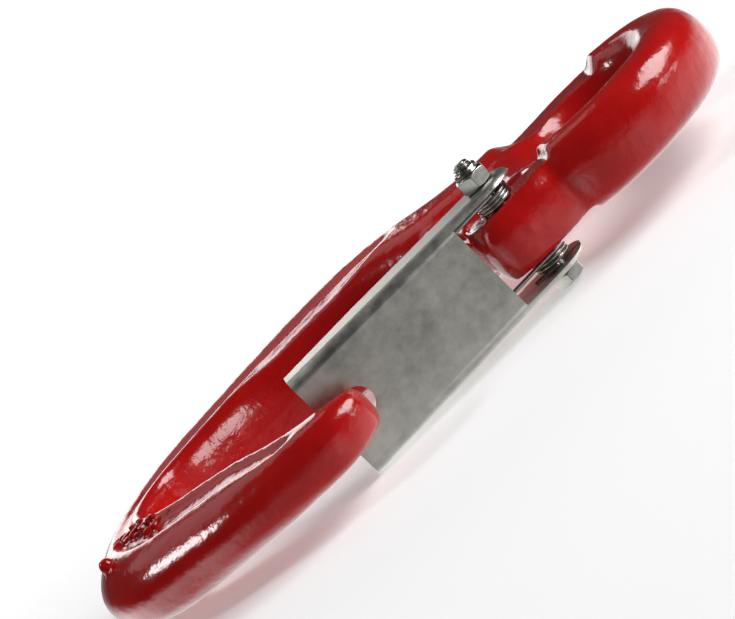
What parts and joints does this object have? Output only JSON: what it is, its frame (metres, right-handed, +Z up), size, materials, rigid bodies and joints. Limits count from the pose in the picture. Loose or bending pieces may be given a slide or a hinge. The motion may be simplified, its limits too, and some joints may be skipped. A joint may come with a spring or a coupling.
{
  "type": "eye sling hook with latch",
  "caption": "Forged eye sling hook with a folded sheet-steel safety latch on a bolt and a torsion spring",
  "frame": {"origin": "centre of the eye, halfway through the thickness of the forging", "axes": "+Z up along the load line from the bowl to the eye, +X towards the hook's tip, Y through the thickness along the eye's axis, with the lock nut on the -Y side"},
  "size_m": [0.1017, 0.0402, 0.2145],
  "materials": {
    "red_paint": "gloss",
    "zinc_sheet": "satin",
    "zinc_hardware": "satin",
    "spring_wire": "satin"
  },
  "bodies": {
    "hook": {"hook_body": "red_paint", "pivot_bolt": "zinc_hardware", "lock_nut": "zinc_hardware"},
    "latch": {"latch": "zinc_sheet", "latch_spring": "spring_wire"}
  },
  "joints": [
    {"name": "latch_pivot", "type": "hinge", "parent": "hook", "child": "latch", "pos_m": [0.025, 0, -0.0324], "axis": [0, 1, 0], "range_deg": [0, 48], "stiffness_Nm_per_rad": 0.15, "springref_deg": -40.11}
  ]
}
